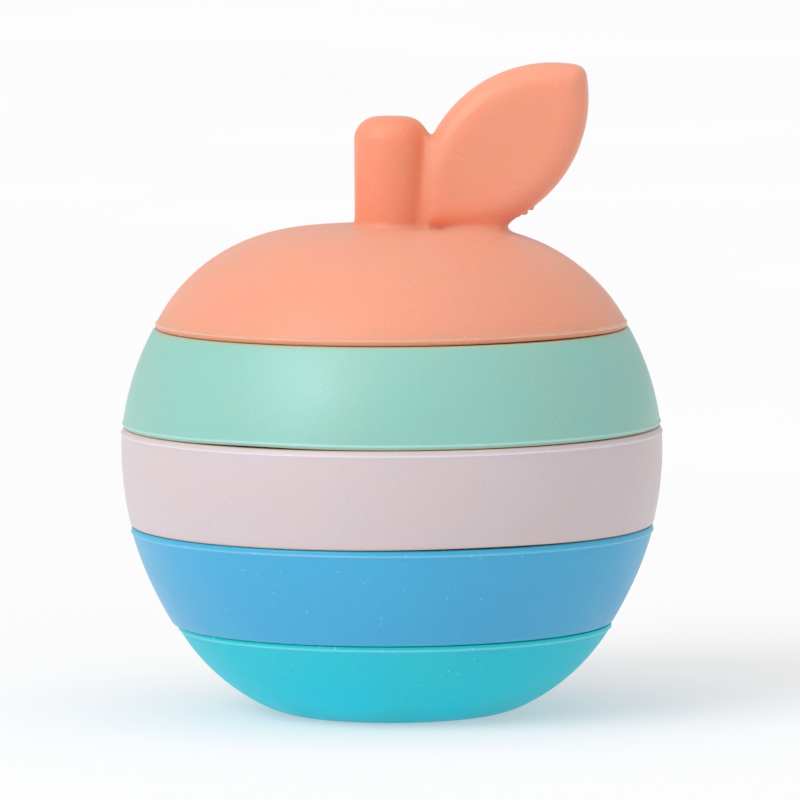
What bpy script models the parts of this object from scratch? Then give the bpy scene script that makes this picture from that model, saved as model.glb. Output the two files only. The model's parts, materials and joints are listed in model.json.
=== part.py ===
"""An apple-shaped silicone stacking toy: a base bowl, three rings and a lid with stem and leaf.

All five pieces are turned about one vertical axis, apart from the lid's leaf, which is an
extruded lens joined to it. Each of the lower four carries a round collar on its top face, and
the piece above has a socket in its underside that drops over that collar. The rings are open
through the middle, the base is a bowl and the lid a dome.

Metres, +Z up, origin on the axis at the underside of the flat foot.
"""

import math

import bmesh
import bpy
from mathutils import Vector

MM = 0.001

# Stack, in millimetres
BASE_HEIGHT = 15.9
RING_HEIGHT = 17.35
RING_COUNT = 3
SEAT_GAP = 0.3          # free height between a piece and the one it rests on

# Outer wall of each layer: radius at its bottom, at mid-height and at its top, in millimetres
BASE_WALL = (20.05, 32.35, 38.35)
BLUE_WALL = (38.6, 43.1, 46.0)
PINK_WALL = (45.95, 47.35, 47.4)
MINT_WALL = (47.25, 45.35, 41.65)

# Collars and the sockets that drop over them, in millimetres
COLLAR_HEIGHT = 5.0
COLLAR_THICKNESS = 3.0
SOCKET_CLEARANCE = 0.4  # on the radius
SOCKET_DEPTH = 6.0
BASE_COLLAR = 32.5      # outer radii
BLUE_COLLAR = 41.0
PINK_COLLAR = 42.0
MINT_COLLAR = 33.0

# Rounded edges, in millimetres
RIM_ROUNDING = 1.0
COLLAR_ROUNDING = 1.3
FOOT_ROUNDING = 1.5

# Walls of the hollow pieces, in millimetres
SHELL = 5.0             # side of the base's bowl, and the lid's dome
FLOOR = 5.0             # bottom of the bowl

# Lid: the dome's side is one arc, whose centre lies inside the apple, in millimetres
DOME_ARC_RADIUS = 31.3
DOME_ARC_CENTRE = (13.7, 53.75)
STEM_RADIUS = 6.5
STEM_TOP = 104.6
STEM_TOP_ROUNDING = 4.1
STEM_FOOT_FILLET = 1.4

# Leaf: a lens between two equal arcs, upright and tilted half-way over to +X, in millimetres
LEAF_CENTRE = (19.6, 99.2)
LEAF_ARC_RADIUS = 23.6
LEAF_HALF_WIDTH = 11.35
LEAF_THICKNESS = 10.0
LEAF_TIP_ROUNDING = 2.6
LEAF_EDGE_ROUNDING = 2.4
LEAF_TILT = math.radians(45)

# Facets
TURN_STEPS = 60
WALL_STEPS = 5
DOME_STEPS = 9
LEAF_STEPS = 10
LEAF_EDGE_STEPS = 3
FILLET_STEPS = 2
SHARP_ANGLE = math.radians(50)
WELD_DISTANCE = 0.00001

# Colours, linear red, green and blue
TURQUOISE = (0.02, 0.51, 0.62)
BLUE = (0.07, 0.40, 0.67)
PINK = (0.65, 0.56, 0.59)
MINT = (0.36, 0.66, 0.56)
CORAL = (0.93, 0.42, 0.26)
ROUGHNESS = 0.6


def clear_scene():
    for obj in list(bpy.data.objects):
        bpy.data.objects.remove(obj, do_unlink=True)


def new_collection(name):
    collection = bpy.data.collections.new(name)
    bpy.context.scene.collection.children.link(collection)
    return collection


def silicone(name, colour):
    material = bpy.data.materials.new(name)
    material.use_nodes = True
    shader = material.node_tree.nodes["Principled BSDF"]
    shader.inputs["Base Color"].default_value = (*colour, 1.0)
    shader.inputs["Roughness"].default_value = ROUGHNESS
    shader.inputs["Metallic"].default_value = 0.0
    return material


def circle_through(first, second, third):
    """Centre and radius of the circle through three points."""
    to_second = second - first
    to_third = third - first
    twice_area = 2.0 * to_second.cross(to_third)
    offset = Vector((
        to_third.y * to_second.length_squared - to_second.y * to_third.length_squared,
        to_second.x * to_third.length_squared - to_third.x * to_second.length_squared,
    )) / twice_area
    return first + offset, offset.length


def arc(centre, radius, start, end, steps):
    """Points along an arc about a centre, from one angle above the horizontal to another."""
    angles = [start + (end - start) * step / steps for step in range(steps + 1)]
    return [(centre[0] + radius * math.cos(a), centre[1] + radius * math.sin(a)) for a in angles]


def wall_circle(wall, bottom, top):
    """Centre and radius of the arc that gives a layer its three outer radii."""
    heights = (bottom, (bottom + top) / 2, top)
    return circle_through(*[Vector(point) for point in zip(wall, heights)])


def layer_wall(wall, bottom, top):
    """Points down a layer's outer wall."""
    centre, radius = wall_circle(wall, bottom, top)
    start = math.asin((top - centre.y) / radius)
    end = math.asin((bottom - centre.y) / radius)
    return arc(centre, radius, start, end, WALL_STEPS)


def dome_arc(radius, bottom, steps):
    """Points from the crest of an arc about the dome's centre down to a height."""
    end = math.asin((bottom - DOME_ARC_CENTRE[1]) / radius)
    return arc(DOME_ARC_CENTRE, radius, math.radians(90), end, steps)


def bowl_arc(top_radius):
    """Points up the bowl's inside, one shell inside its wall, from the floor to a radius."""
    centre, outer = wall_circle(BASE_WALL, 0, BASE_HEIGHT - SEAT_GAP)
    radius = outer - SHELL
    start = math.asin((FLOOR - centre.y) / radius)
    end = -math.acos((top_radius - centre.x) / radius)
    return arc(centre, radius, start, end, WALL_STEPS)


def rounded(corners):
    """A profile's points, with each corner that has a rounding radius turned into an arc."""
    points = []
    for index, (across, up, rounding) in enumerate(corners):
        corner = Vector((across, up))
        if not rounding:
            points.append(corner)
            continue
        before = Vector(corners[index - 1][:2]) - corner
        after = Vector(corners[(index + 1) % len(corners)][:2]) - corner
        half_angle = before.angle(after) / 2
        setback = rounding / math.tan(half_angle)
        middle = (before.normalized() + after.normalized()).normalized()
        centre = corner + middle * (rounding / math.sin(half_angle))
        start = corner + before.normalized() * setback - centre
        end = corner + after.normalized() * setback - centre
        turn = start.angle_signed(end)
        for step in range(FILLET_STEPS + 1):
            angle = -turn * step / FILLET_STEPS
            points.append(centre + Vector((
                start.x * math.cos(angle) - start.y * math.sin(angle),
                start.x * math.sin(angle) + start.y * math.cos(angle),
            )))
    return points


def plain(points):
    """Corners without rounding."""
    return [(across, up, 0) for across, up in points]


def collar(radius, seat):
    """Corners of a collar standing on a seat, from its inner side over the top to its outer foot."""
    inner = radius - COLLAR_THICKNESS
    top = seat + COLLAR_HEIGHT
    return [(inner, top, COLLAR_ROUNDING), (radius, top, COLLAR_ROUNDING), (radius, seat, 0)]


def turned(name, corners, closed, material, collection):
    """An object turned about Z from a profile; an open profile starts and ends on the axis."""
    points = rounded(corners)
    mesh = bpy.data.meshes.new(name)
    edges = [(index, index + 1) for index in range(len(points) - 1)]
    if closed:
        edges.append((len(points) - 1, 0))
    mesh.from_pydata([(p.x * MM, 0, p.y * MM) for p in points], edges, [])
    mesh.materials.append(material)
    obj = bpy.data.objects.new(name, mesh)
    collection.objects.link(obj)
    screw = obj.modifiers.new("Turn", "SCREW")
    screw.axis = "Z"
    screw.steps = TURN_STEPS
    screw.render_steps = TURN_STEPS
    screw.use_merge_vertices = True
    screw.merge_threshold = WELD_DISTANCE
    return obj


def evaluated_mesh(obj):
    """A mesh of the object with its modifiers applied."""
    bpy.context.view_layer.update()
    return bpy.data.meshes.new_from_object(obj.evaluated_get(bpy.context.evaluated_depsgraph_get()))


def shade(obj):
    """Apply the object's modifiers, and shade it smooth up to its real corners."""
    mesh = evaluated_mesh(obj)
    obj.modifiers.clear()
    obj.data = mesh
    mesh.shade_smooth()
    mesh.set_sharp_from_angle(angle=SHARP_ANGLE)


def make_base(material, collection):
    seat = BASE_HEIGHT - SEAT_GAP
    wall = layer_wall(BASE_WALL, 0, seat)
    inside = bowl_arc(BASE_COLLAR - COLLAR_THICKNESS)
    corners = [(0, FLOOR, 0), *plain(inside), *collar(BASE_COLLAR, seat)]
    corners += [(*wall[0], RIM_ROUNDING), *plain(wall[1:-1]), (*wall[-1], FOOT_ROUNDING), (0, 0, 0)]
    return turned("base_bowl", corners, False, material, collection)


def make_ring(name, number, wall, socket, collar_radius, material, collection):
    """The ring that is number-th above the base, from 0."""
    bottom = BASE_HEIGHT + number * RING_HEIGHT
    top = bottom + RING_HEIGHT - SEAT_GAP
    outside = layer_wall(wall, bottom, top)
    socket_radius = socket + SOCKET_CLEARANCE
    inner = collar_radius - COLLAR_THICKNESS
    corners = [(*outside[0], RIM_ROUNDING), *plain(outside[1:-1]), (*outside[-1], RIM_ROUNDING)]
    corners += [(socket_radius, bottom, 0), (socket_radius, bottom + SOCKET_DEPTH, 0)]
    if inner < socket_radius:
        corners.append((inner, bottom + SOCKET_DEPTH + (socket_radius - inner) / 2, 0))
    corners.append((inner, top, 0))
    corners += collar(collar_radius, top)
    return turned(name, corners, True, material, collection)


def leaf_outline():
    """The lens's edge in its own frame, along X from tip to root and back, tip rounded."""
    arc_centre = LEAF_ARC_RADIUS - LEAF_HALF_WIDTH
    # The tip's small arc touches both sides from inside
    reach = LEAF_ARC_RADIUS - LEAF_TIP_ROUNDING
    tip_centre = math.sqrt(reach**2 - arc_centre**2)
    touch = math.atan2(arc_centre, tip_centre)
    root = math.acos(-math.sqrt(1 - (arc_centre / LEAF_ARC_RADIUS) ** 2))
    upper = []
    for step in range(LEAF_STEPS + 1):
        angle = touch + (root - touch) * step / LEAF_STEPS
        upper.append((LEAF_ARC_RADIUS * math.cos(angle), LEAF_ARC_RADIUS * math.sin(angle) - arc_centre))
    tip = [
        (tip_centre + LEAF_TIP_ROUNDING * math.cos(a), LEAF_TIP_ROUNDING * math.sin(a))
        for a in (-touch / 2, 0, touch / 2)
    ]
    lower = [(x, -y) for x, y in reversed(upper[:-1])]
    return tip + upper + lower


def make_leaf(cutters):
    """The leaf, an extruded lens with rounded edges, which is joined to the lid."""
    curve = bpy.data.curves.new("leaf_outline", "CURVE")
    curve.dimensions = "2D"
    curve.fill_mode = "BOTH"
    curve.extrude = LEAF_THICKNESS / 2 * MM
    outline = leaf_outline()
    spline = curve.splines.new("POLY")
    spline.points.add(len(outline) - 1)
    for point, (along, across) in zip(spline.points, outline):
        point.co = (along * MM, across * MM, 0, 1)
    spline.use_cyclic_u = True
    flat = bpy.data.objects.new("leaf_outline", curve)
    cutters.objects.link(flat)
    # The outline is drawn lying down, then stood up in the X-Z plane and tilted
    flat.rotation_euler = (math.radians(90), -LEAF_TILT, 0)
    flat.location = (LEAF_CENTRE[0] * MM, 0, LEAF_CENTRE[1] * MM)
    mesh = evaluated_mesh(flat)
    weld = bmesh.new()
    weld.from_mesh(mesh)
    bmesh.ops.remove_doubles(weld, verts=weld.verts, dist=WELD_DISTANCE)
    weld.to_mesh(mesh)
    weld.free()
    leaf = bpy.data.objects.new("leaf", mesh)
    leaf.matrix_world = flat.matrix_world
    bpy.data.objects.remove(flat)
    cutters.objects.link(leaf)
    leaf.hide_render = True
    leaf.display_type = "WIRE"
    bevel = leaf.modifiers.new("Rounded edges", "BEVEL")
    bevel.width = LEAF_EDGE_ROUNDING * MM
    bevel.segments = LEAF_EDGE_STEPS
    bevel.use_clamp_overlap = False
    bevel.limit_method = "ANGLE"
    bevel.angle_limit = math.radians(60)
    return leaf


def make_lid(material, collection, cutters):
    bottom = BASE_HEIGHT + RING_COUNT * RING_HEIGHT
    outside = dome_arc(DOME_ARC_RADIUS, bottom, DOME_STEPS)
    socket_radius = MINT_COLLAR + SOCKET_CLEARANCE
    socket_top = bottom + SOCKET_DEPTH
    inside = dome_arc(DOME_ARC_RADIUS - SHELL, socket_top, WALL_STEPS)
    corners = [
        (0, STEM_TOP, 0),
        (STEM_RADIUS, STEM_TOP, STEM_TOP_ROUNDING),
        (STEM_RADIUS, outside[0][1], STEM_FOOT_FILLET),
        *plain(outside[:-1]),
        (*outside[-1], RIM_ROUNDING),
        (socket_radius, bottom, 0),
        (socket_radius, socket_top, 0),
        *plain(reversed(inside)),
        (0, inside[0][1], 0),
    ]
    lid = turned("apple_lid", corners, False, material, collection)
    join = lid.modifiers.new("Leaf", "BOOLEAN")
    join.operation = "UNION"
    join.solver = "EXACT"
    join.object = make_leaf(cutters)
    return lid


def main():
    clear_scene()
    toy = new_collection("apple_stacker")
    cutters = new_collection("cutters")
    make_base(silicone("turquoise_silicone", TURQUOISE), toy)
    make_ring("blue_ring", 0, BLUE_WALL, BASE_COLLAR, BLUE_COLLAR, silicone("blue_silicone", BLUE), toy)
    make_ring("pink_ring", 1, PINK_WALL, BLUE_COLLAR, PINK_COLLAR, silicone("pink_silicone", PINK), toy)
    make_ring("mint_ring", 2, MINT_WALL, PINK_COLLAR, MINT_COLLAR, silicone("mint_silicone", MINT), toy)
    make_lid(silicone("coral_silicone", CORAL), toy, cutters)
    for piece in toy.objects:
        shade(piece)


main()
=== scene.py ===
"""The looks of the apple-shaped silicone stacking toy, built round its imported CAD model.

Every CAD node is replaced by a finer piece in the same place: turned pieces with rounded
rims, parting-line beads and slightly uneven seams, and a lid whose stem and leaf run into
the dome with fillets. Lengths are in millimetres up to the point where a mesh is made.
"""

import json
import math

import bmesh
import bpy
import numpy as np
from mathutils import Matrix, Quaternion, Vector


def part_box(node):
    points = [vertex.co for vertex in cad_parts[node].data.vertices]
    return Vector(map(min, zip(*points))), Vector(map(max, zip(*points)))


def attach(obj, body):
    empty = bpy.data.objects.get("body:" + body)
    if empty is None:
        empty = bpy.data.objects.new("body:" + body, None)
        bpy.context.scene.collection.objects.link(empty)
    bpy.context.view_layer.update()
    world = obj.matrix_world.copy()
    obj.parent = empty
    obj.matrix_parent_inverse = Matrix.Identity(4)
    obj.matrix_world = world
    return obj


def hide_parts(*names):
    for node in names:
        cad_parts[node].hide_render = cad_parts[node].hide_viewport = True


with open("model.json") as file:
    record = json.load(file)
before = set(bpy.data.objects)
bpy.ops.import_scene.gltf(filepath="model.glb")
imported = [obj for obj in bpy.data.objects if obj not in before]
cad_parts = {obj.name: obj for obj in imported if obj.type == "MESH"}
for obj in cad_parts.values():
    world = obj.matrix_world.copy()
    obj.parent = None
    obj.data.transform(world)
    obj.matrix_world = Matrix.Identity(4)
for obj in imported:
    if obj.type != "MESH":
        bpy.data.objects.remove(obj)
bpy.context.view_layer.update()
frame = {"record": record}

MM = 0.001

# Heights of the stack, from the CAD parts' boxes
NODES = ("base_bowl", "blue_ring", "pink_ring", "mint_ring", "apple_lid")
BOTTOM = {node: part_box(node)[0].z / MM for node in NODES}
TOP = {node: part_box(node)[1].z / MM for node in NODES}
SEAT_GAP = 0.3
SEAT = {node: BOTTOM[above] - SEAT_GAP for node, above in zip(NODES, NODES[1:])}

# Outer wall of each layer: radius at its bottom, at mid-height and at its top
WALL = {
    "base_bowl": (20.05, 32.35, 38.35),
    "blue_ring": (38.6, 43.1, 46.0),
    "pink_ring": (45.95, 47.35, 47.4),
    "mint_ring": (47.25, 45.35, 41.65),
}

# Collars, and the sockets that drop over them
COLLAR = {"base_bowl": 32.5, "blue_ring": 41.0, "pink_ring": 42.0, "mint_ring": 33.0}
COLLAR_THICKNESS = 3.0
COLLAR_ROUNDING = 1.3
SOCKET_CLEARANCE = 0.4
SOCKET_DEPTH = 6.0
SHELL = 5.0
BOWL_FLOOR = 5.0        # thickness of the bowl's floor

# Lid
DOME_CENTRE = (13.7, 53.75)
DOME_RADIUS = 31.3
STEM_RADIUS = 6.5
STEM_TOP = 104.6
STEM_ROUNDING = 4.1
STEM_LEAN = 0.008       # how far the stem's foot sits to +X of its top, for each unit of height
LEAF_CENTRE = (19.6, 99.2)
LEAF_ARC_RADIUS = 23.6
LEAF_HALF_WIDTH = 11.35
LEAF_REACH = 16.5       # from the leaf's centre to its tip, along X and Z

# Rims. The land is the rounded strip between a seam and the parting-line bead
LAND_HEIGHT = {
    "base_bowl": 0.78, "blue_ring": 0.98, "pink_ring": 0.95, "mint_ring": 0.62, "apple_lid": 0.82,
}
LAND_SLOPE = 0.62       # the land's inset at the seam, as a share of its height
BEAD_HEIGHT = 0.17
BEAD_WIDTH = 0.17
PLAIN_ROUNDING = 0.45
FOOT_ROUNDING = 1.5

# Meshing
SEGMENTS = 240
WALL_STEPS = 26
ROUNDING_STEPS = 8
BEAD_SPAN = (0.35, 0.6) # how far below and above the land's end the bead needs close points
BEAD_STEP = 0.07
WALL_START = 0.3        # distance from an edge's profile to the even points of the wall
FLAT_STEP = 2.5         # spacing of points across a flat floor
SAME_PLACE = 1e-4       # points nearer than this are one point
SMALL = 1e-6            # keeps the divisions in the leaf's field finite
TINY = 1e-9             # keeps the moves along the field finite
CROWN_STEP = 0.36
CROWN_RADIUS = 24.0     # inside it the lid's top is meshed from the field
CROWN_MARGIN = 1.5
JOIN_RADIUS = 24.8      # outside it the lid is turned
CROWN_LOW = 80.0        # below the crown's lowest point
CLEAR_OF_DOME = 0.7     # what stands this far above the dome is kept beyond the crown's radius
SMOOTHING_ROUNDS = 8
SMOOTHING_SHARE = 0.5
LONGEST_MOVE = 0.6


# ---------------------------------------------------------------- profiles

def arc(centre, radius, start, end, steps):
    """Points along an arc, from one angle above the horizontal to another."""
    angles = np.linspace(start, end, steps + 1)
    return [(centre[0] + radius * math.cos(a), centre[1] + radius * math.sin(a)) for a in angles]


def circle_through(first, second, third):
    """Centre and radius of the circle through three points."""
    first, second, third = Vector(first), Vector(second), Vector(third)
    to_second = second - first
    to_third = third - first
    twice_area = 2.0 * to_second.cross(to_third)
    offset = Vector((
        to_third.y * to_second.length_squared - to_second.y * to_third.length_squared,
        to_second.x * to_third.length_squared - to_third.x * to_second.length_squared,
    )) / twice_area
    return first + offset, offset.length


def wall_circle(node):
    """Centre and radius of the arc of a layer's outer wall."""
    bottom, top = BOTTOM[node], SEAT[node]
    heights = (bottom, (bottom + top) / 2, top)
    return circle_through(*zip(WALL[node], heights))


def beaded_edge(along, land_height):
    """Inset of the wall at a distance from a beaded edge: the land's rounding and the bead."""
    share = np.clip(1 - along / land_height, 0, 1)
    land = LAND_SLOPE * land_height * (1 - np.sqrt(1 - share**2))
    return land - BEAD_HEIGHT * np.exp(-(((along - land_height) / BEAD_WIDTH) ** 2))


def plain_edge(along, rounding=PLAIN_ROUNDING):
    """Inset of the wall at a distance from an edge without a bead."""
    share = np.clip(1 - along / rounding, 0, 1)
    return rounding * (1 - np.sqrt(1 - share**2))


def edge_distances(rounding, land_height=None):
    """Distances from an edge at which its profile needs points, from the edge inwards."""
    height = land_height or rounding
    quarter = np.linspace(0, math.radians(90), ROUNDING_STEPS + 1)[:-1]
    distances = list(height * (1 - np.cos(quarter)))
    if land_height:
        distances += list(np.arange(land_height - BEAD_SPAN[0], land_height + BEAD_SPAN[1], BEAD_STEP))
    return sorted(distances)


def outer_wall(radius_at, bottom, top, land_height, beaded_top, foot=PLAIN_ROUNDING):
    """Points down an outer wall whose bead is at its top or at its bottom edge."""
    upper = edge_distances(PLAIN_ROUNDING, land_height if beaded_top else None)
    lower = edge_distances(foot, None if beaded_top else land_height)
    heights = [top - d for d in upper]
    first, last = top - upper[-1] - WALL_START, bottom + lower[-1] + WALL_START
    heights += list(np.linspace(first, last, WALL_STEPS))
    heights += [bottom + d for d in reversed(lower)]
    points = []
    for height in heights:
        from_top, from_bottom = top - height, height - bottom
        if beaded_top:
            inset = beaded_edge(from_top, land_height) + plain_edge(from_bottom, foot)
        else:
            inset = plain_edge(from_top) + beaded_edge(from_bottom, land_height)
        points.append((radius_at(height) - float(inset), height))
    return points


def straight(start, end, step=1.2):
    """Points from start towards end, without end itself."""
    count = max(1, round(math.dist(start, end) / step))
    start, end = np.array(start), np.array(end)
    return [tuple(start + (end - start) * i / count) for i in range(count)]


def rounded_corner(before, corner, after, rounding, steps=5):
    """Points of the arc that rounds a corner between two straight runs."""
    corner = Vector(corner)
    back, ahead = (Vector(before) - corner).normalized(), (Vector(after) - corner).normalized()
    half_angle = back.angle(ahead) / 2
    centre = corner + (back + ahead).normalized() * (rounding / math.sin(half_angle))
    start = corner + back * (rounding / math.tan(half_angle)) - centre
    end = corner + ahead * (rounding / math.tan(half_angle)) - centre
    turn = start.angle_signed(end)
    points = []
    for step in range(steps + 1):
        cos, sin = math.cos(-turn * step / steps), math.sin(-turn * step / steps)
        points.append((centre.x + start.x * cos - start.y * sin, centre.y + start.x * sin + start.y * cos))
    return points


def collar_profile(node):
    """Points up the inside of a collar, over its rounded top and down to the seat."""
    radius, seat, top = COLLAR[node], SEAT[node], TOP[node]
    inner = radius - COLLAR_THICKNESS
    middle = (radius - COLLAR_THICKNESS / 2, top)
    points = rounded_corner((inner, seat), (inner, top), middle, COLLAR_ROUNDING)
    points += rounded_corner(middle, (radius, top), (radius, seat), COLLAR_ROUNDING)
    foot = rounded_corner((radius, top), (radius, seat), (radius + 2, seat), 0.4, 3)
    return points + straight(points[-1], foot[0]) + foot


# ---------------------------------------------------------------- turned meshes

# Slow waviness of a moulded silicone wall: how far it goes in or out, and how often round the wall
WAVES = ((0.05, 2), (0.035, 3), (0.02, 5), (0.015, 7))
TWIST = 0.02            # a further wave that turns with the height
TWIST_HEIGHT = 10.0     # height over which it turns by one radian
WAVE_START = 20.0       # radius at which the waviness sets in
WAVE_GROWTH = 20.0      # distance over which it grows to its full size


def unevenness(node, angle, radius, height):
    """How far the real wall lies outside a true circle, at places of a piece."""
    phases = np.random.default_rng(NODES.index(node)).uniform(0, 2 * math.pi, len(WAVES))
    wave = TWIST * np.sin(angle + phases[0] + height / TWIST_HEIGHT)
    for (size, count), phase in zip(WAVES, phases):
        wave = wave + size * np.sin(count * angle + phase)
    return wave * np.clip((radius - WAVE_START) / WAVE_GROWTH, 0, 1)


def angle_from_front(x, y):
    """Angle round the axis from the front, positive towards +X."""
    return np.arctan2(x, -y)


def bumps(angle, places):
    """Sum of smooth bumps: each place is a centre and a half-width in degrees, and a height."""
    total = np.zeros_like(angle)
    for centre, width, height in places:
        away = (angle - math.radians(centre) + math.pi) % (2 * math.pi) - math.pi
        total += height * np.exp(-((away / math.radians(width)) ** 2))
    return total


BEADED_TOP = {
    "base_bowl": True, "blue_ring": True, "pink_ring": True, "mint_ring": False, "apple_lid": False,
}

# Where each seam stands open: centre, half-width (degrees) and opening (mm), above an even gap
EVEN_GAP = 0.1
SEAM_OPENINGS = {
    "blue_ring": ((-150, 30, 0.1), (70, 60, 0.03)),
    "pink_ring": ((24, 24, 0.19), (165, 25, 0.15)),
    "mint_ring": ((-28, 14, 0.22), (50, 25, 0.07), (140, 30, 0.2)),
    "apple_lid": ((44, 30, 0.14), (-120, 20, 0.12)),
}
SEAM_FADE = 7.0         # height over which a lower edge's lift fades out
# How far each piece sits off the axis, along X and Y
SETTLING = {
    "base_bowl": (0.4, 0.0),
    "blue_ring": (0.08, 0.05),
    "pink_ring": (0.0, -0.05),
    "mint_ring": (-0.05, 0.04),
    "apple_lid": (-0.04, -0.04),
}
LID_LEAN = 0.005        # the soft lid leans this much to +X, in radians
LEAN_START = 10.0       # height over which the lean sets in


def settle(node, points):
    """Moves a piece's points, in millimetres, to where the real piece sits and how it is warped."""
    points = np.array(points, float)
    angle = angle_from_front(points[:, 0], points[:, 1])
    radius = np.hypot(points[:, 0], points[:, 1])
    if node in SEAM_OPENINGS:
        fade = np.clip(1 - (points[:, 2] - BOTTOM[node]) / SEAM_FADE, 0, 1) ** 2
        lift = EVEN_GAP - SEAT_GAP + bumps(angle, SEAM_OPENINGS[node])
        points[:, 2] += lift * fade
    wave = unevenness(node, angle, radius, points[:, 2])
    points[:, 0] += wave * np.sin(angle)
    points[:, 1] -= wave * np.cos(angle)
    if node == "apple_lid":
        above = np.clip(points[:, 2] - BOTTOM[node], 0, None)
        points[:, 2] -= LID_LEAN * points[:, 0] * np.clip(above / LEAN_START, 0, 1)
        points[:, 0] += LID_LEAN * above
    points[:, :2] += SETTLING[node]
    return points


def lathe(profile, closed):
    """Vertices and faces of a profile turned about Z. An open profile may start or end on the axis."""
    vertices, faces, rows = [], [], []
    pairs = zip([profile[-1]] + profile, profile)
    profile = [point for before, point in pairs if math.dist(before, point) > SAME_PLACE]
    for radius, height in profile:
        if radius < SAME_PLACE:
            rows.append([len(vertices)] * SEGMENTS)
            vertices.append((0.0, 0.0, height))
            continue
        rows.append(list(range(len(vertices), len(vertices) + SEGMENTS)))
        for step in range(SEGMENTS):
            angle = 2 * math.pi * step / SEGMENTS
            vertices.append((radius * math.sin(angle), -radius * math.cos(angle), height))
    pairs = list(zip(rows, rows[1:]))
    if closed:
        pairs.append((rows[-1], rows[0]))
    for first, second in pairs:
        for step in range(SEGMENTS):
            after = (step + 1) % SEGMENTS
            corners = [first[step], second[step], second[after], first[after]]
            faces.append(list(dict.fromkeys(corners)))
    return vertices, faces


# These marks paint light and shade: a highlight along the bead, and shade near seams and in the lid's
# crevice
BEAD_HIGHLIGHT_WIDTH = 0.22
SEAM_SHADE_REACH = 0.8   # how far from a seam its painted shade fades out
BEAD_REACH = 0.3        # the lid's wall is measured this close to its bead
MARK_DEPTH = 0.8        # painted highlight and shade fade out between one and two of these inside the wall
CREVICE_SHADE_SHARE = 0.75    # strength of the painted shade in the corner between the leaf and the stem or dome


def edge_marks(node, points):
    """Two marks for each point, 0 to 1: a painted highlight on the parting-line bead, painted shade near a
    seam.
    """
    bottom, top = BOTTOM[node], SEAT.get(node, TOP[node])
    height, radius = points[:, 2], np.hypot(points[:, 0], points[:, 1])
    land_height = LAND_HEIGHT[node]
    along = top - height if BEADED_TOP[node] else height - bottom
    if node in WALL:
        wall = np.interp(height, (bottom, top), WALL[node][::2])
    else:
        wall = radius[np.abs(along - land_height) < BEAD_REACH].max()
    outside = np.clip((radius - wall) / MARK_DEPTH + 2, 0, 1)
    bead = np.exp(-(((along - land_height) / BEAD_HIGHLIGHT_WIDTH) ** 2)) * outside
    from_edge = np.minimum(np.abs(height - bottom), np.abs(height - top))
    close = np.clip(1 - from_edge / SEAM_SHADE_REACH, 0, 1) * (bottom > 0)
    close = np.maximum(close, np.clip(1 - np.abs(along) / land_height, 0, 1)) * outside
    if node == "apple_lid":
        close = np.maximum(close, CREVICE_SHADE_SHARE * crevice(points))
    return {"bead": bead, "seam": close}


SHARP_ANGLE = math.radians(50)


def make_object(name, vertices, faces, marks):
    """A smooth-shaded object from points in millimetres, with its marks as point attributes."""
    mesh = bpy.data.meshes.new(name)
    mesh.from_pydata([tuple(v) for v in np.array(vertices) * MM], [], faces)
    mesh.validate()
    shell = bmesh.new()
    shell.from_mesh(mesh)
    bmesh.ops.recalc_face_normals(shell, faces=shell.faces)
    shell.to_mesh(mesh)
    shell.free()
    mesh.shade_smooth()
    mesh.set_sharp_from_angle(angle=SHARP_ANGLE)
    for mark, values in marks.items():
        mesh.attributes.new(mark, "FLOAT", "POINT").data.foreach_set("value", values)
    obj = bpy.data.objects.new(name, mesh)
    bpy.context.scene.collection.objects.link(obj)
    return obj


def finish_piece(node, vertices, faces, material):
    """Settles a piece's points, makes its object and puts it in its CAD node's place."""
    points = np.array(vertices, float)
    marks = edge_marks(node, points)
    return stand_for(make_object(node + "_skin", settle(node, points), faces, marks), node, material)


def stand_for(piece, node, material):
    """Gives a piece its material and puts it in a CAD node's place."""
    piece.data.materials.append(material)
    body = next(b for b, nodes in frame["record"]["behaviour"]["bodies"].items() if node in nodes)
    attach(piece, body)
    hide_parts(node)
    return piece


def turned_wall(node, foot=PLAIN_ROUNDING):
    """Points down a layer's outer wall, from its seat to its underside."""
    centre, radius = wall_circle(node)

    def radius_at(height):
        return centre.x + math.sqrt(radius**2 - (height - centre.y) ** 2)

    return outer_wall(radius_at, BOTTOM[node], SEAT[node], LAND_HEIGHT[node], BEADED_TOP[node], foot)


MOUTH_ROUNDING = 0.3    # at the lower edge of a socket
BOWL_STEPS = 14
DOME_STEPS = 34
CEILING_STEPS = 16
LID_RIM = 3.2           # height of the lid's rim, below its plain dome


def make_base(material):
    """The bowl: from the middle of its floor up the inside, over the collar and down the wall."""
    node = "base_bowl"
    centre, outer = wall_circle(node)
    radius = outer - SHELL
    inner = COLLAR[node] - COLLAR_THICKNESS
    lowest = math.asin((BOWL_FLOOR - centre.y) / radius)
    highest = -math.acos((inner - centre.x) / radius)
    bowl = arc(centre, radius, lowest, highest, BOWL_STEPS)
    wall = turned_wall(node, FOOT_ROUNDING)
    collar = collar_profile(node)
    middle = (0, BOTTOM[node])
    profile = straight((0, BOWL_FLOOR), bowl[0], FLAT_STEP) + bowl
    profile += straight(bowl[-1], collar[0])[1:] + collar
    profile += straight(collar[-1], wall[0])[1:] + wall + straight(wall[-1], middle, FLAT_STEP)[1:]
    profile.append(middle)
    return finish_piece(node, *lathe(profile, False), material)


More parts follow.
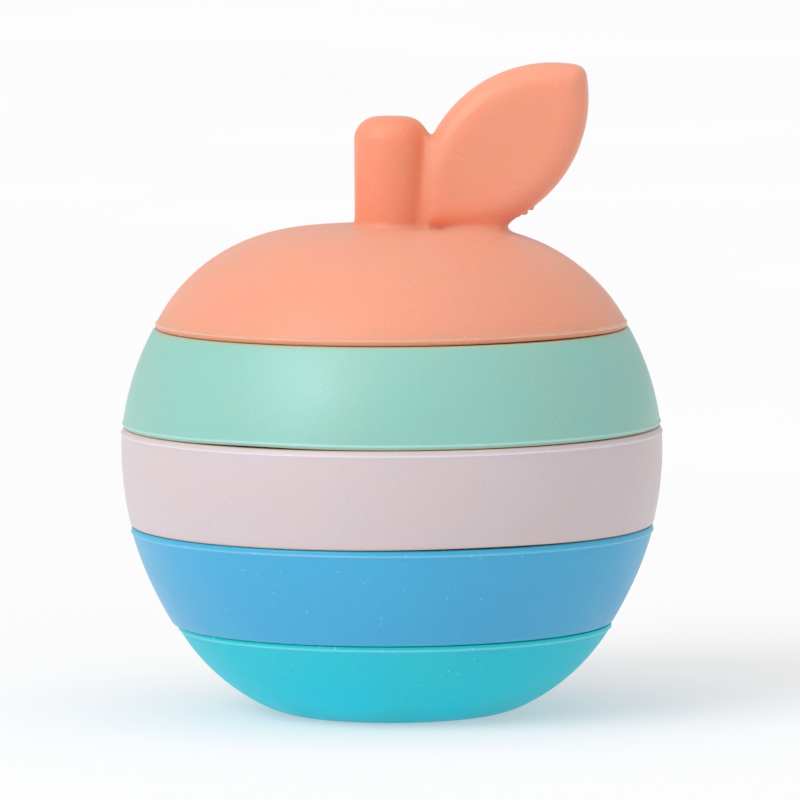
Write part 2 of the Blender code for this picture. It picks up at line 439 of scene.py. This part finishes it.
def make_ring(node, below, material):
    """A ring: down its wall, into the socket and up the inside to the collar."""
    bottom = BOTTOM[node]
    socket = COLLAR[below] + SOCKET_CLEARANCE
    inner = COLLAR[node] - COLLAR_THICKNESS
    wall = turned_wall(node)
    collar = collar_profile(node)
    ledge_top = bottom + SOCKET_DEPTH + max(0.0, (socket - inner) / 2)
    mouth = rounded_corner(wall[-1], (socket, bottom), (socket, bottom + 2), MOUTH_ROUNDING, 3)
    corners = [(socket, bottom + SOCKET_DEPTH)]
    if inner < socket:
        corners.append((inner, ledge_top))
    corners.append(collar[0])
    profile = wall + straight(wall[-1], mouth[0])[1:] + mouth
    for start, end in zip([mouth[-1]] + corners, corners):
        profile += straight(start, end)[1 if start == mouth[-1] else 0:]
    profile += collar + straight(collar[-1], wall[0])[1:]
    return finish_piece(node, *lathe(profile, True), material)


# ---------------------------------------------------------------- the lid's crown as a field

def round_off(first, second, width):
    """Smooth minimum of two distances, blended where they differ by less than width."""
    blend = np.clip(width - np.abs(first - second), 0, None) / width
    return np.minimum(first, second) - blend**2 * width / 4


def dome(x, y, z):
    """Distance from the dome's outside."""
    radius = np.hypot(x, y)
    return np.hypot(np.clip(radius - DOME_CENTRE[0], 0, None), z - DOME_CENTRE[1]) - DOME_RADIUS


def stem(x, y, z):
    """Distance from the stem, a cylinder with a rounded top edge."""
    off_axis = x + STEM_LEAN * (z - STEM_TOP)
    side = np.hypot(off_axis, y) - (STEM_RADIUS - STEM_ROUNDING)
    end = z - (STEM_TOP - STEM_ROUNDING)
    corner = np.hypot(np.clip(side, 0, None), np.clip(end, 0, None))
    return corner + np.minimum(np.maximum(side, end), 0) - STEM_ROUNDING


LEAF_BEVEL = 7.0        # where the rounded border would reach its full height
LEAF_HALF_THICKNESS = 5.6
LEAF_BLUNTNESS = 3.0    # 2 makes the border's section a quarter ellipse; more squares it off
LEAF_BORDER = 4.6       # where the flat panel begins
LEAF_CREASE = 0.4       # width over which the border runs into the panel
LEAF_DISH = 0.25        # how far the panel is dished
LEAF_DISH_REACH = 2.5   # distance over which the dish deepens
LEAF_TIP_BLEND = 1.6    # width over which the two edges run into each other at the tip
LEAF_LEAST_BLEND = 0.05 # what is left of that width along the leaf's middle


def leaf_outline(x, z):
    """Places along the leaf, and how far they lie inside its upper and its lower edge."""
    along = ((x - LEAF_CENTRE[0]) + (z - LEAF_CENTRE[1])) / math.sqrt(2)
    across = ((z - LEAF_CENTRE[1]) - (x - LEAF_CENTRE[0])) / math.sqrt(2)
    middle = LEAF_ARC_RADIUS - LEAF_HALF_WIDTH
    upper = LEAF_ARC_RADIUS - np.hypot(along, across + middle)
    lower = LEAF_ARC_RADIUS - np.hypot(along, across - middle)
    return along, upper, lower


# The web between the stem's side and the leaf: a point on its sloping top edge, that edge's normal,
# how far it counts as lying inside the leaf's edge, how that changes along X and Z, and where it
# ends towards the leaf and upwards
WEB_TOP = (7.0, 101.35)
WEB_SLOPE = (0.555, 0.832)
WEB_DEPTH = 0.8
WEB_RISE = (0.2, -0.1)
WEB_END = 9.0
WEB_CEILING = 103.3
WEB_BLEND = 0.8


def web_inset(x, z):
    """How far places in the web count as lying inside the leaf's edge, so that it is as thick there."""
    from_top = (x - WEB_TOP[0], z - WEB_TOP[1])
    below = -WEB_SLOPE[0] * from_top[0] - WEB_SLOPE[1] * from_top[1]
    depth = WEB_DEPTH + WEB_RISE[0] * from_top[0] + WEB_RISE[1] * from_top[1]
    return np.minimum(np.minimum(below, depth), np.minimum(WEB_END - x, WEB_CEILING - z))


def leaf(x, y, z):
    """Distance-like field of the leaf: a blunt rounded border round a slightly dished panel."""
    _, upper, lower = leaf_outline(x, z)
    sharp = np.minimum(upper, lower)
    blend = LEAF_TIP_BLEND * np.clip(1 - sharp / LEAF_BORDER, LEAF_LEAST_BLEND, 1)
    inwards = round_off(upper, lower, blend)
    inwards = -round_off(-inwards, -web_inset(x, z), WEB_BLEND)
    p = np.clip(LEAF_BEVEL - inwards, 0, None) / LEAF_BEVEL
    q = np.abs(y) / LEAF_HALF_THICKNESS
    power = LEAF_BLUNTNESS
    size = (p**power + q**power) ** (1 / power) + SMALL
    lean_p, lean_q = (p / size) ** (power - 1), (q / size) ** (power - 1)
    border = (size - 1) / (np.hypot(lean_p / LEAF_BEVEL, lean_q / LEAF_HALF_THICKNESS) + SMALL)
    level = LEAF_HALF_THICKNESS * (1 - (1 - LEAF_BORDER / LEAF_BEVEL) ** power) ** (1 / power)
    past_border = np.clip(inwards - LEAF_BORDER, 0, None)
    depth = LEAF_DISH * (1 - np.exp(-past_border / LEAF_DISH_REACH))
    panel = np.abs(y) - (level - depth)
    return -round_off(-border, -panel, LEAF_CREASE)


# Ragged flash on the leaf's lower edge: place along the leaf, half-width and height of each lump
FLASH = ((-3.9, 0.5, 0.36), (-5.3, 0.55, 0.42), (-6.4, 0.4, 0.15))
FLASH_HALF_THICKNESS = 0.5
FLASH_ROOT = 0.15       # depth inside the leaf at which the flash starts
FLASH_BACK = 2.0        # how far it keeps from the leaf's upper edge


def flash(x, y, z):
    """The thin ragged fin that the mould's parting line left under the leaf."""
    along, upper, lower = leaf_outline(x, z)
    height = -FLASH_ROOT * np.ones_like(along)
    for place, half_width, tall in FLASH:
        height += (tall + FLASH_ROOT) * np.exp(-(((along - place) / half_width) ** 4))
    fin = np.maximum(-lower - height, FLASH_BACK - upper)
    return np.maximum(fin, np.abs(y) - FLASH_HALF_THICKNESS)


STEM_FILLET = 1.7
LEAF_FILLET = 0.7       # between the leaf and the stem
FOOT_FILLET = 3.1       # added to it between the outer end of the leaf's foot and the dome
FOOT_START = (9.0, 92.0)    # X and height from which the foot's fillet widens
FOOT_GROWTH = (10.0, 4.0)   # distances outwards and downwards over which it does
CREVICE_REACH = 2.2
STEM_SIDE = 2.5         # how much faster the crevice fades away from the stem than from the dome
CREVICE_START = 1.2     # height above the dome from which the crevice counts


def crown(points):
    """Distance-like field of the lid's outside, negative within the silicone."""
    x, y, z = points[:, 0], points[:, 1], points[:, 2]
    outwards = np.clip((x - FOOT_START[0]) / FOOT_GROWTH[0], 0, 1)
    downwards = np.clip((FOOT_START[1] - z) / FOOT_GROWTH[1], 0, 1)
    fillet = LEAF_FILLET + FOOT_FILLET * (outwards * downwards)
    body = round_off(dome(x, y, z), stem(x, y, z), STEM_FILLET)
    return np.minimum(round_off(body, leaf(x, y, z), fillet), flash(x, y, z))


def crevice(points):
    """How deep in the corner between the leaf and the stem or dome each point lies, from 0 to 1."""
    x, y, z = points[:, 0], points[:, 1], points[:, 2]
    above_dome = dome(x, y, z)
    beside = np.minimum(STEM_SIDE * np.abs(stem(x, y, z)), np.abs(above_dome))
    depth = np.exp(-np.maximum(np.abs(leaf(x, y, z)), beside) / CREVICE_REACH)
    return depth * np.clip(above_dome / CREVICE_START, 0, 1)


def field_gradient(points, reach=0.02):
    """The crown field's gradient at some points."""
    columns = []
    for axis in range(3):
        step = np.zeros(3)
        step[axis] = reach
        columns.append((crown(points + step) - crown(points - step)) / (2 * reach))
    return np.stack(columns, axis=1)


def onto_field(points, rounds):
    """Moves points along the field's gradient until they lie on its surface."""
    for _ in range(rounds):
        gradient = field_gradient(points)
        length = np.sum(gradient**2, axis=1, keepdims=True) + TINY
        move = -crown(points)[:, None] * gradient / length
        size = np.linalg.norm(move, axis=1, keepdims=True)
        points = points + move * np.clip(LONGEST_MOVE / np.maximum(size, TINY), None, 1)
    return points


def dome_height(radius):
    """Height of the dome's outside at a radius."""
    beyond = np.clip(radius - DOME_CENTRE[0], 0, None)
    return DOME_CENTRE[1] + np.sqrt(DOME_RADIUS**2 - beyond**2)


def surface_net(field, low, high, step):
    """Vertices and quads of a field's zero surface on a grid: one vertex in each cell it crosses."""
    axes = [np.arange(a, b, step) for a, b in zip(low, high)]
    shape = tuple(len(axis) for axis in axes)
    values = np.empty(shape)
    flat = np.stack(np.meshgrid(axes[0], axes[1], indexing="ij"), axis=-1).reshape(-1, 2)
    for layer, height in enumerate(axes[2]):
        points = np.column_stack([flat, np.full(len(flat), height)])
        values[:, :, layer] = field(points).reshape(shape[:2])
    inside = values < 0
    corners = np.array([(i, j, k) for i in (0, 1) for j in (0, 1) for k in (0, 1)])
    count = sum(inside[i:shape[0] - 1 + i, j:shape[1] - 1 + j, k:shape[2] - 1 + k].astype(int)
                for i, j, k in corners)
    cells = np.argwhere((count > 0) & (count < 8))
    total, crossings = np.zeros(cells.shape), np.zeros((len(cells), 1))
    for first in corners:
        for axis in np.flatnonzero(first == 0):
            second = first.copy()
            second[axis] = 1
            near = values[tuple((cells + first).T)]
            far = values[tuple((cells + second).T)]
            crossed = (near < 0) != (far < 0)
            share = near[crossed] / (near[crossed] - far[crossed])
            total[crossed] += cells[crossed] + first + share[:, None] * (second - first)
            crossings[crossed] += 1
    vertices = np.array(low) + total / crossings * step
    number = -np.ones(shape, int)
    number[tuple(cells.T)] = np.arange(len(cells))
    quads = []
    for axis in range(3):
        across, up = (axis + 1) % 3, (axis + 2) % 3
        ahead = np.roll(inside, -1, axis)
        edges = np.argwhere(inside != ahead)
        inner = (edges[:, axis] < shape[axis] - 1) & (edges[:, across] > 0) & (edges[:, up] > 0)
        edges = edges[inner]
        loop = []
        for back_across, back_up in ((1, 1), (0, 1), (0, 0), (1, 0)):
            cell = edges.copy()
            cell[:, across] -= back_across
            cell[:, up] -= back_up
            loop.append(number[tuple(cell.T)])
        loop = np.stack(loop, axis=1)
        quads.append(loop[(loop >= 0).all(axis=1)])
    return vertices, np.concatenate(quads)


def crown_mesh():
    """A BMesh of the lid's top: the dome's crown, the stem and the leaf, in millimetres."""
    reach = CROWN_RADIUS + CROWN_MARGIN
    low = (-reach, -reach, CROWN_LOW)
    high = (LEAF_CENTRE[0] + LEAF_REACH, reach, LEAF_CENTRE[1] + LEAF_REACH)
    vertices, quads = surface_net(crown, low, high, CROWN_STEP)
    radius = np.hypot(vertices[:, 0], vertices[:, 1])
    above = vertices[:, 2] > dome_height(np.minimum(radius, JOIN_RADIUS)) + CLEAR_OF_DOME
    kept = (radius < CROWN_RADIUS) | above
    shell = bmesh.new()
    corners = [shell.verts.new(v) if keep else None for v, keep in zip(vertices, kept)]
    for quad in quads:
        if kept[quad].all():
            shell.faces.new([corners[i] for i in quad])
    keep_largest_part(shell)
    shell.verts.index_update()
    points = np.array([v.co for v in shell.verts])
    rim = np.array([v.is_boundary for v in shell.verts])
    edges = np.array([(e.verts[0].index, e.verts[1].index) for e in shell.edges])
    count = np.bincount(edges.ravel(), minlength=len(points))[:, None]
    points = onto_field(points, 4)
    for _ in range(SMOOTHING_ROUNDS):
        points = to_rim(points, rim)
        total = np.zeros_like(points)
        np.add.at(total, edges[:, 0], points[edges[:, 1]])
        np.add.at(total, edges[:, 1], points[edges[:, 0]])
        drift = total / count - points
        normal = field_gradient(points)
        normal /= np.linalg.norm(normal, axis=1, keepdims=True) + TINY
        drift -= np.sum(drift * normal, axis=1, keepdims=True) * normal
        drift[rim] = 0
        points = onto_field(points + SMOOTHING_SHARE * drift, 1)
    points = to_rim(onto_field(points, 3), rim)
    for vertex, point in zip(shell.verts, points):
        vertex.co = point
    return shell


def keep_largest_part(shell):
    """Removes everything but the connected part with the most vertices."""
    left, largest = set(shell.verts), []
    while left:
        part, front = [], [left.pop()]
        while front:
            vertex = front.pop()
            part.append(vertex)
            for edge in vertex.link_edges:
                other = edge.other_vert(vertex)
                if other in left:
                    left.remove(other)
                    front.append(other)
        if len(part) > len(largest):
            largest = part
    chosen = set(largest)
    bmesh.ops.delete(shell, geom=[v for v in shell.verts if v not in chosen], context="VERTS")


def to_rim(points, rim):
    """Puts the crown's boundary on one circle of the dome."""
    moved = points.copy()
    radius = np.hypot(moved[rim, 0], moved[rim, 1])
    moved[rim, :2] *= (CROWN_RADIUS / radius)[:, None]
    moved[rim, 2] = dome_height(np.full(radius.shape, CROWN_RADIUS))
    return moved


def make_lid(material):
    """The lid: the crown's mesh, joined to the turned dome, rim, socket and hollow."""
    node = "apple_lid"
    bottom = BOTTOM[node]
    across, up = DOME_CENTRE
    socket = COLLAR["mint_ring"] + SOCKET_CLEARANCE
    inner = DOME_RADIUS - SHELL

    def radius_at(height):
        return across + math.sqrt(DOME_RADIUS**2 - (height - up) ** 2)

    start = math.acos((JOIN_RADIUS - across) / DOME_RADIUS)
    end = math.asin((bottom + LID_RIM - up) / DOME_RADIUS)
    side = arc(DOME_CENTRE, DOME_RADIUS, start, end, DOME_STEPS)
    rim = outer_wall(radius_at, bottom, side[-1][1], LAND_HEIGHT[node], False)
    rim = [point for point in rim if point[1] < side[-1][1] - PLAIN_ROUNDING - 0.1]
    ledge = bottom + SOCKET_DEPTH
    ceiling = arc(DOME_CENTRE, inner, math.asin((ledge - up) / inner), math.radians(90), CEILING_STEPS)
    mouth = rounded_corner(rim[-1], (socket, bottom), (socket, bottom + 2), MOUTH_ROUNDING, 3)
    profile = side + rim + straight(rim[-1], mouth[0])[1:] + mouth
    profile += straight(mouth[-1], (socket, ledge))[1:] + straight((socket, ledge), ceiling[0])
    middle = (0, ceiling[-1][1])
    profile += ceiling + straight(ceiling[-1], middle, 3)[1:] + [middle]
    vertices, faces = lathe(profile, False)
    shell = crown_mesh()
    turned = bpy.data.meshes.new("turned_lid")
    turned.from_pydata(vertices, [], faces)
    shell.from_mesh(turned)
    bpy.data.meshes.remove(turned)
    open_edges = [edge for edge in shell.edges if edge.is_boundary]
    bmesh.ops.triangle_fill(shell, edges=open_edges, use_beauty=True, use_dissolve=False, normal=(0, 0, 1))
    joined = bpy.data.meshes.new("lid_points")
    shell.to_mesh(joined)
    shell.free()
    points = [tuple(v.co) for v in joined.vertices]
    polygons = [list(p.vertices) for p in joined.polygons]
    bpy.data.meshes.remove(joined)
    return finish_piece(node, points, polygons, material)


# ---------------------------------------------------------------- materials

# Patterns in a silicone's colour: features per metre, detail, the range of the noise over which
# the pattern fades in, and its opacity
MOTTLE = (38.0, 3.0, 0.35, 0.65, 0.14)
PATCHES = (75.0, 4.0, 0.42, 0.66, 0.5)
GRAIN = (3000.0, 1.0, 0.3, 0.7, 0.14)
MOTTLE_SHADE = 0.82
GRAIN_SHADE = 1.3
PAINTED_EDGE_OPACITY = 0.8         # opacity of the painted shade close to a seam and the painted highlight on the bead

# Specks on it: cells per metre, a speck's size in its cell, the share of cells that have one, and
# the speck's opacity
POWDER = (1400.0, 0.17, 0.3, 0.2)
DUST = (700.0, 0.11, 0.16, 0.34)
LINT = (420.0, 0.05, 0.1, 0.22)
CRUMBS = (1100.0, 0.2, 0.2, 0.5)
DIRT = (650.0, 0.1, 0.05, 0.3)
DUST_COLOUR = (0.9, 0.9, 0.88)
DIRT_SHADE = 0.4
LINT_STRETCH = 9.0      # lint is specks of this length to their width
LINT_TURNS = ((70, 20, 15), (20, 65, 40), (80, -35, 70))

ROUGHNESS = (0.36, 0.45)    # least and greatest
WEAR = (90.0, 4.0)      # features per metre and detail of the changes in roughness
IOR = 1.41
SHEEN_ROUGHNESS = 0.45
SUBSURFACE_SCALE = 2.0
RELIEF = (1500.0, 2.0)  # features per metre and detail of the skin's fine relief
RELIEF_STRENGTH = 0.3
RELIEF_DEPTH = 0.02
DUST_RELIEF = 0.8       # how far the dust stands out, as a share of that relief

FLOOR_TONES = (0.54, 0.56)
FLOOR_GLOW = 0.385


def set_input(tree, node, key, value):
    """Sets a node's input, by name or number, to a value or links it to another node's output."""
    if isinstance(value, bpy.types.NodeSocket):
        tree.links.new(value, node.inputs[key])
    else:
        node.inputs[key].default_value = value


def maths(tree, operation, first, second=0.0):
    """Output of a Math node."""
    node = tree.nodes.new("ShaderNodeMath")
    node.operation = operation
    set_input(tree, node, 0, first)
    set_input(tree, node, 1, second)
    return node.outputs[0]


def ramp(tree, value, low, high, from_value=0.0, to_value=1.0):
    """Maps a value smoothly from one range to another."""
    node = tree.nodes.new("ShaderNodeMapRange")
    node.interpolation_type = "SMOOTHSTEP"
    node.inputs["From Min"].default_value = low
    node.inputs["From Max"].default_value = high
    node.inputs["To Min"].default_value = from_value
    node.inputs["To Max"].default_value = to_value
    set_input(tree, node, "Value", value)
    return node.outputs[0]


def mix(tree, share, first, second):
    """Colour between two colours, each a triple or another node's output."""
    node = tree.nodes.new("ShaderNodeMix")
    node.data_type = "RGBA"
    colours = [s for s in node.inputs if s.type == "RGBA"]
    set_input(tree, node, 0, share)
    for socket, value in zip(colours, (first, second)):
        if isinstance(value, bpy.types.NodeSocket):
            tree.links.new(value, socket)
        else:
            socket.default_value = (*value, 1.0)
    return next(s for s in node.outputs if s.type == "RGBA")


def tinted(tree, base, mask, opacity, tint):
    """Lays a tint over a colour where a mask is."""
    return mix(tree, maths(tree, "MULTIPLY", mask, opacity), base, tint)


def noise(tree, place, per_metre, detail):
    """Smooth noise with so many features for each metre."""
    node = tree.nodes.new("ShaderNodeTexNoise")
    tree.links.new(place, node.inputs["Vector"])
    node.inputs["Scale"].default_value = per_metre
    node.inputs["Detail"].default_value = detail
    return node.outputs["Fac"]


def patterned(tree, base, place, pattern, tint):
    """Lays a tint over a colour in one of the noise patterns."""
    per_metre, detail, low, high, opacity = pattern
    return tinted(tree, base, ramp(tree, noise(tree, place, per_metre, detail), low, high), opacity, tint)


def specks(tree, place, kind):
    """A mask of sparse round specks of one kind."""
    per_metre, size, share, _ = kind
    node = tree.nodes.new("ShaderNodeTexVoronoi")
    tree.links.new(place, node.inputs["Vector"])
    node.inputs["Scale"].default_value = per_metre
    split = tree.nodes.new("ShaderNodeSeparateColor")
    tree.links.new(node.outputs["Color"], split.inputs[0])
    chosen = maths(tree, "GREATER_THAN", split.outputs[0], 1 - share)
    dot = ramp(tree, node.outputs["Distance"], size * 0.5, size, 1.0, 0.0)
    return maths(tree, "MULTIPLY", chosen, dot)


def turned_place(tree, place, angles, stretch):
    """Coordinates turned and stretched along one of their axes, so that specks become fibres."""
    node = tree.nodes.new("ShaderNodeMapping")
    tree.links.new(place, node.inputs["Vector"])
    node.vector_type = "TEXTURE"
    node.inputs["Rotation"].default_value = [math.radians(a) for a in angles]
    node.inputs["Scale"].default_value = (1.0, 1.0, stretch)
    return node.outputs[0]


def lint_fibres(tree, place):
    """A mask of short fibres that lie three ways."""
    ways = [specks(tree, turned_place(tree, place, angles, LINT_STRETCH), LINT) for angles in LINT_TURNS]
    return maths(tree, "MAXIMUM", maths(tree, "MAXIMUM", ways[0], ways[1]), ways[2])


def mark(tree, name):
    """One of the marks that edge_marks gives the points."""
    node = tree.nodes.new("ShaderNodeAttribute")
    node.attribute_name = name
    return node.outputs["Fac"]


def scaled(colour, factors):
    """A colour with red, green and blue each multiplied by a factor."""
    return tuple(min(1.0, c * f) for c, f in zip(colour, factors))


def shaded(colour, factor):
    """A colour made darker, or lighter, by one factor."""
    return scaled(colour, (factor,) * 3)


def colour_with_painted_light(tree, place, look, low, high):
    """Colour by height and in patches, with painted shade at seams and a painted highlight on the bead."""
    colour = look["top"]
    split = tree.nodes.new("ShaderNodeSeparateXYZ")
    tree.links.new(place, split.inputs[0])
    height = ramp(tree, split.outputs["Z"], low * MM, high * MM)
    # On the bowl the lighter bottom is painted light, standing in for light bounced up from the floor
    base = mix(tree, height, look["bottom"], colour)
    base = patterned(tree, base, place, MOTTLE, shaded(colour, MOTTLE_SHADE))
    base = patterned(tree, base, place, PATCHES, scaled(colour, look["patch"]))
    base = patterned(tree, base, place, GRAIN, shaded(colour, GRAIN_SHADE))
    # Painted shade near seams and in the lid's crevice, and a painted highlight along the bead
    base = tinted(tree, base, mark(tree, "seam"), PAINTED_EDGE_OPACITY, look["seam"])
    return tinted(tree, base, mark(tree, "bead"), PAINTED_EDGE_OPACITY, look["bead"])


def dusted(tree, place, base, dust, dirt_colour):
    """Adds what clings to the silicone: powder, dust, lint, crumbs at the edges, and dirt."""
    edges = maths(tree, "MAXIMUM", mark(tree, "seam"), mark(tree, "bead"))
    crumbs = maths(tree, "MULTIPLY", specks(tree, place, CRUMBS), edges)
    for mask, kind, tint in (
        (specks(tree, place, POWDER), POWDER, DUST_COLOUR),
        (dust, DUST, DUST_COLOUR),
        (lint_fibres(tree, place), LINT, DUST_COLOUR),
        (crumbs, CRUMBS, DUST_COLOUR),
        (specks(tree, place, DIRT), DIRT, dirt_colour),
    ):
        base = tinted(tree, base, mask, kind[-1], tint)
    return base


def silicone(name, look, low, high):
    """Matt silicone for a piece between two heights, with fine relief and dust."""
    material = bpy.data.materials.new(name)
    material.use_nodes = True
    tree = material.node_tree
    shader = tree.nodes["Principled BSDF"]
    place = tree.nodes.new("ShaderNodeTexCoord").outputs["Object"]
    dust = specks(tree, place, DUST)
    base = colour_with_painted_light(tree, place, look, low, high)
    base = dusted(tree, place, base, dust, shaded(look["top"], DIRT_SHADE))
    relief = maths(tree, "ADD", noise(tree, place, *RELIEF), maths(tree, "MULTIPLY", dust, DUST_RELIEF))
    bump = tree.nodes.new("ShaderNodeBump")
    bump.inputs["Strength"].default_value = RELIEF_STRENGTH
    bump.inputs["Distance"].default_value = RELIEF_DEPTH * MM
    tree.links.new(relief, bump.inputs["Height"])
    tree.links.new(base, shader.inputs["Base Color"])
    tree.links.new(ramp(tree, noise(tree, place, *WEAR), 0.3, 0.7, *ROUGHNESS), shader.inputs["Roughness"])
    tree.links.new(bump.outputs[0], shader.inputs["Normal"])
    shader.inputs["IOR"].default_value = IOR
    shader.inputs["Specular IOR Level"].default_value = look["specular"]
    shader.inputs["Sheen Weight"].default_value = look["sheen"]
    shader.inputs["Sheen Roughness"].default_value = SHEEN_ROUGHNESS
    shader.inputs["Subsurface Weight"].default_value = look["depth"]
    shader.inputs["Subsurface Radius"].default_value = look["reach"]
    shader.inputs["Subsurface Scale"].default_value = SUBSURFACE_SCALE * MM
    return material


def plain_floor_material():
    """A matt off-white floor that glows a little, so that it stays as pale as the sky around it."""
    material = bpy.data.materials.new("pale_floor")
    material.use_nodes = True
    tree = material.node_tree
    shader = tree.nodes["Principled BSDF"]
    place = tree.nodes.new("ShaderNodeTexCoord").outputs["Object"]
    tone = ramp(tree, noise(tree, place, 3.0, 2.0), 0.3, 0.7)
    tree.links.new(mix(tree, tone, *((t, t, t) for t in FLOOR_TONES)), shader.inputs["Base Color"])
    shader.inputs["Roughness"].default_value = 0.9
    shader.inputs["Specular IOR Level"].default_value = 0.1
    shader.inputs["Emission Color"].default_value = (1.0, 1.0, 1.0, 1.0)
    shader.inputs["Emission Strength"].default_value = FLOOR_GLOW
    return material


# ---------------------------------------------------------------- stage

CAMERA_DISTANCE = 1.65
CAMERA_ELEVATION = math.radians(5.30)
CAMERA_SIDE = math.radians(2.5)
CAMERA_ROLL = math.radians(-0.24)
CAMERA_LENS = 423.0
CAMERA_TARGET = Vector((0.0015, 0.0, 0.05475))

# Suns: degrees from the front towards +X, degrees above the horizon, strength, spread in degrees
KEY_SUN = (-43, 34, 1.47, 40)
OVERHEAD_SUN = (-20, 74, 0.66, 70)
SIDE_SUN = (70, 25, 0.14, 90)
WORLD_STRENGTH = 0.59
FLOOR_RADIUS = 12
FLOOR_SIDES = 64


def make_camera():
    """The camera: a long lens from slightly above and to the right of the front."""
    data = bpy.data.cameras.new("camera")
    data.lens = CAMERA_LENS
    data.sensor_width = 36.0
    data.clip_end = 50.0
    camera = bpy.data.objects.new("camera", data)
    level = math.cos(CAMERA_ELEVATION)
    back = Vector((
        math.sin(CAMERA_SIDE) * level, -math.cos(CAMERA_SIDE) * level, math.sin(CAMERA_ELEVATION)
    ))
    camera.location = CAMERA_TARGET + back * CAMERA_DISTANCE
    camera.rotation_mode = "QUATERNION"
    camera.rotation_quaternion = Quaternion(back, CAMERA_ROLL) @ back.to_track_quat("Z", "Y")
    bpy.context.scene.collection.objects.link(camera)
    bpy.context.scene.camera = camera


def make_floor():
    """A wide round floor."""
    mesh = bpy.data.meshes.new("floor")
    angles = np.linspace(0, 2 * math.pi, FLOOR_SIDES + 1)[:-1]
    rim = [(FLOOR_RADIUS * math.cos(a), FLOOR_RADIUS * math.sin(a), 0) for a in angles]
    mesh.from_pydata(rim, [], [list(range(len(rim)))])
    floor = bpy.data.objects.new("floor", mesh)
    mesh.materials.append(plain_floor_material())
    bpy.context.scene.collection.objects.link(floor)


def add_sun(name, azimuth, elevation, strength, spread):
    """A broad sun: azimuth is where it comes from, from the front towards +X."""
    data = bpy.data.lights.new(name, "SUN")
    data.energy = strength
    data.angle = math.radians(spread)
    light = bpy.data.objects.new(name, data)
    a, e = math.radians(azimuth), math.radians(elevation)
    towards = Vector((math.sin(a) * math.cos(e), -math.cos(a) * math.cos(e), math.sin(e)))
    light.rotation_mode = "QUATERNION"
    light.rotation_quaternion = towards.to_track_quat("Z", "Y")
    bpy.context.scene.collection.objects.link(light)


def make_lights():
    """An even white sky and three broad suns."""
    world = bpy.data.worlds.new("studio")
    bpy.context.scene.world = world
    world.use_nodes = True
    background = world.node_tree.nodes["Background"]
    background.inputs["Color"].default_value = (1.0, 1.0, 1.0, 1.0)
    background.inputs["Strength"].default_value = WORLD_STRENGTH
    add_sun("key", *KEY_SUN)
    add_sun("overhead", *OVERHEAD_SUN)
    add_sun("side", *SIDE_SUN)


# ---------------------------------------------------------------- build

# How each silicone looks: its colour at the top and bottom of its layer (the bowl's lighter bottom is
# painted light from the floor), its painted shade close to a seam, its painted highlight on the bead,
# the factors that tint its patches, how strongly it gleams, how much of the light goes into it, and
# how far red, green and blue light spread inside it
TURQUOISE = {
    "top": (0.04, 0.532, 0.652), "bottom": (0.01, 0.62, 0.774), "seam": (0.0, 0.6, 0.62),
    "bead": (0.2, 0.66, 0.76), "patch": (1.0, 1.06, 0.94), "specular": 0.12, "sheen": 0.0,
    "depth": 0.4, "reach": (0.1, 0.9, 1.0),
}
BLUE = {
    "top": (0.06, 0.389, 0.654), "bottom": (0.059, 0.379, 0.645), "seam": (0.05, 0.42, 0.61),
    "bead": (0.16, 0.52, 0.74), "patch": (0.9, 1.05, 0.98), "specular": 0.5, "sheen": 0.1,
    "depth": 0.4, "reach": (0.2, 0.6, 1.0),
}
PINK = {
    "top": (0.601, 0.522, 0.546), "bottom": (0.601, 0.517, 0.552), "seam": (0.62, 0.48, 0.43),
    "bead": (0.67, 0.65, 0.73), "patch": (1.03, 0.97, 0.91), "specular": 0.65, "sheen": 0.1,
    "depth": 0.4, "reach": (1.0, 0.7, 0.7),
}
# The mint's seam colour is painted shade, and at its top a painted reflection of the coral lid
MINT = {
    "top": (0.251, 0.532, 0.466), "bottom": (0.251, 0.532, 0.466), "seam": (0.4, 0.45, 0.3),
    "bead": (0.38, 0.66, 0.65), "patch": (1.12, 1.0, 0.93), "specular": 0.8, "sheen": 0.1,
    "depth": 0.4, "reach": (0.5, 1.0, 0.9),
}
CORAL = {
    "top": (0.785, 0.325, 0.206), "bottom": (0.785, 0.325, 0.206), "seam": (0.86, 0.19, 0.06),
    "bead": (0.8, 0.4, 0.3), "patch": (1.0, 0.99, 1.16), "specular": 0.55, "sheen": 0.1,
    "depth": 0.8, "reach": (2.5, 0.5, 0.3),
}


def silicone_for(name, look, node):
    """A silicone whose colour runs from the bottom to the top of a node."""
    return silicone(name, look, BOTTOM[node], SEAT.get(node, TOP[node]))


make_base(silicone_for("turquoise_silicone", TURQUOISE, "base_bowl"))
make_ring("blue_ring", "base_bowl", silicone_for("blue_silicone", BLUE, "blue_ring"))
make_ring("pink_ring", "blue_ring", silicone_for("pink_silicone", PINK, "pink_ring"))
make_ring("mint_ring", "pink_ring", silicone_for("mint_silicone", MINT, "mint_ring"))
make_lid(silicone_for("coral_silicone", CORAL, "apple_lid"))
make_floor()
make_lights()
make_camera()
bpy.context.scene.view_settings.view_transform = "Standard"
